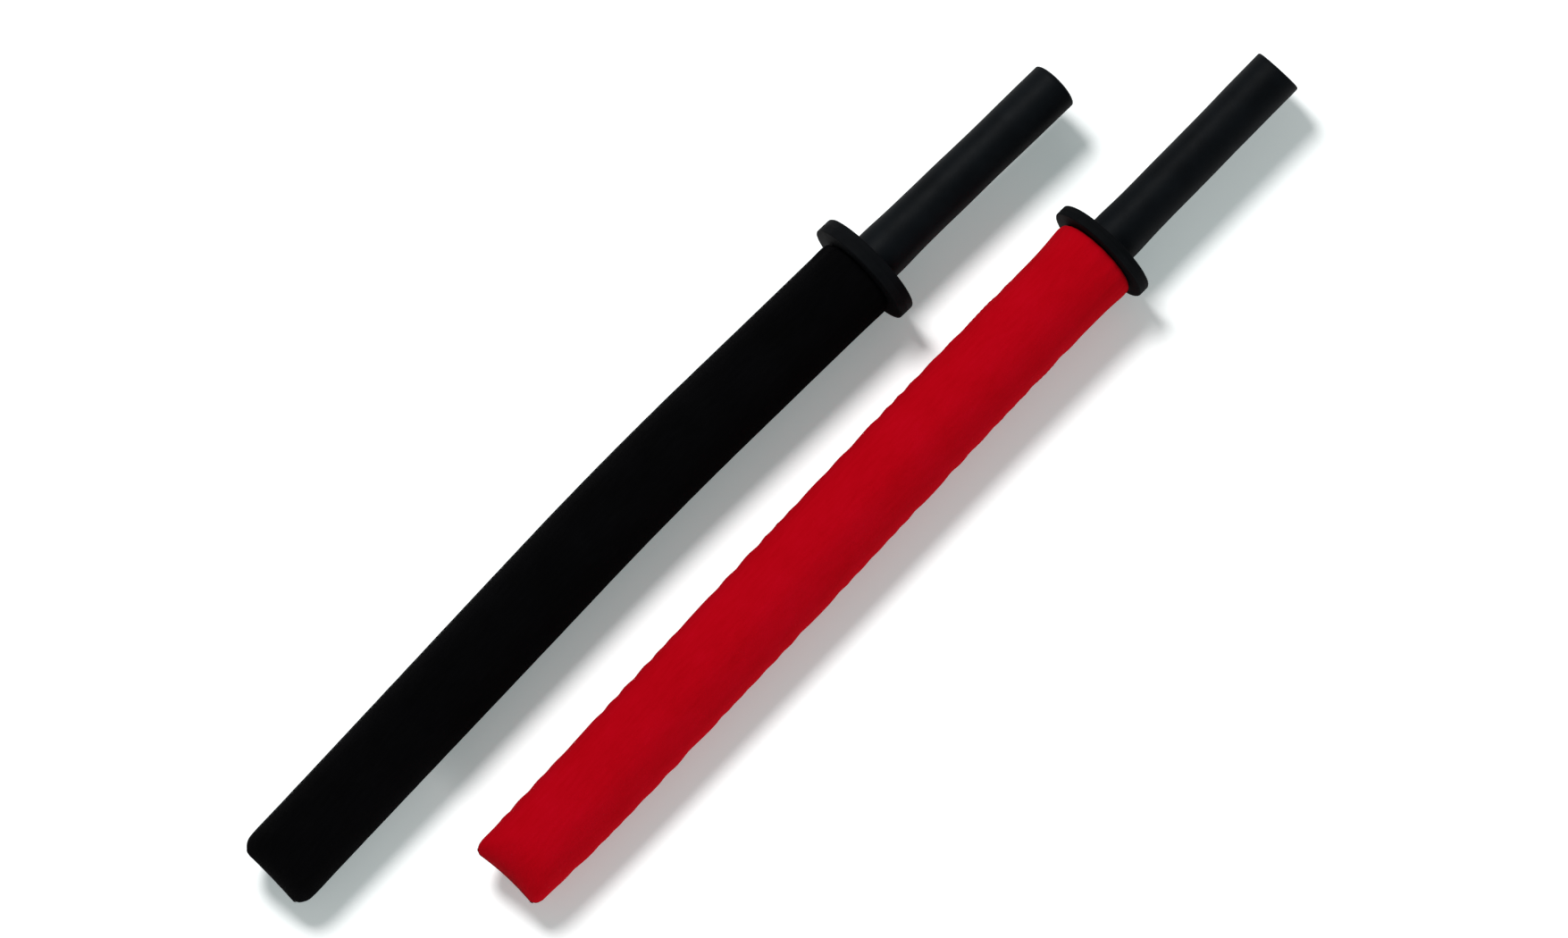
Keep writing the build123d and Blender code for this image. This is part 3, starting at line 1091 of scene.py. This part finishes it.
def makeGrip(colour):
    stick = sticks[colour]
    butt, radius = stick["butt"] + stick["buttExtra"], stick["gripRadius"] + gripLook["fuller"]
    start = stick["guardThickness"]
    dome, edge = stick["buttDome"], stick["buttEdge"]
    bore, wall = pipeBore, gripLook["endWall"]
    profile = [(-start, bore), (-start, radius - 0.001), (-start - 0.0008, radius - 0.0002)]
    straight = butt - dome - start
    count = int(straight / gripLook["step"])
    for k in range(1, count):
        x = start + straight * k / count
        fromSwell = (x - start - gripLook["swellAt"]) / gripLook["swellReach"]
        swell = gripLook["swell"] * math.exp(-fromSwell ** 2)
        waist = gripLook["waist"] * math.sin((x - start) / straight * math.pi)
        profile.append((-x, radius + swell - waist * 0.5))
    flat = edge if dome < edge else dome
    for k in range(0, 9):
        turn = k / 8 * math.pi / 2
        x = butt - flat + flat * math.sin(turn)
        if dome < edge:
            profile.append((-x, radius - edge + edge * math.cos(turn)))
        else:
            profile.append((-x, radius * math.cos(turn) ** gripLook["domeShape"]))
    if dome < edge:
        profile += [(-butt - 0.0002, radius * 0.5), (-butt - 0.0003, 0.0)]
    else:
        profile[-1] = (-butt, 0.0)
    profile = [row for n, row in enumerate(profile) if n == 0 or row[0] <= profile[n - 1][0] + 1e-9]
    profile += [(wall - butt, 0.0), (wall - butt, bore * 0.5), (wall - butt, bore), (-start, bore)]
    return turnedSkin(colour + "Grip", stick, profile, gripLook["columns"], gripLook["uneven"],
                      gripLook["lumps"], materials["grip"], stick["buttCut"])


def plainRings(stick, profile, columns):
    # rings of the given (distance, radius), with nothing gathered
    angles = np.linspace(0, 2 * math.pi, columns, endpoint=False) + math.radians(stick["roll"])
    distance, radius = profileGrid(profile, angles)
    return place(stick, distance, radius * np.cos(angles), radius * np.sin(angles))


def makePadding(colour):
    # the foam inside the cover, with the pipe's bore up to its cap
    stick = sticks[colour]
    outer = place(stick, *outerGrid(stick, padding["cloth"] + padding["slack"]))
    columns = outer.shape[1]
    front = stick["padded"] - padding["tipCushion"] - 0.001
    distances = np.linspace(padding["back"] - 0.0001, front, padding["boreRows"])
    bore = plainRings(stick, [(d, pipeBore) for d in distances] + [(front, 0.0)], columns)
    face = plainRings(stick, [(padding["back"] + 0.0002, 0.020), (padding["back"], pipeBore)], columns)
    return closedSkin(colour + "Padding", np.concatenate([outer, face]), bore, materials["padding"])


# Every piece of each stick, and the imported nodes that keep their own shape
stitching = stitchTree()
for colour, stick in sticks.items():
    body = stick["body"]
    coverItem = makeCover(colour)
    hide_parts(colour + "_cover")
    stitchItem = makeStitches(colour, stitching)
    paddingItem = makePadding(colour)
    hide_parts(colour + "_foam_sleeve", colour + "_foam_tip")
    guardItem = makeGuard(colour)
    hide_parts(colour + "_guard")
    gripItem = makeGrip(colour)
    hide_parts(colour + "_grip")
    for item in (coverItem, stitchItem, paddingItem, guardItem, gripItem):
        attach(item, body)
    for node, material in (("core_pipe", "pipe"), ("pipe_front_cap", "cap"), ("pipe_rear_plug", "plug"),
                           ("cover_elastic", "elastic")):
        mesh = frame["nodes"][colour + "_" + node].data
        mesh.materials.clear()
        mesh.materials.append(materials[material])
    print(colour, "stick made")
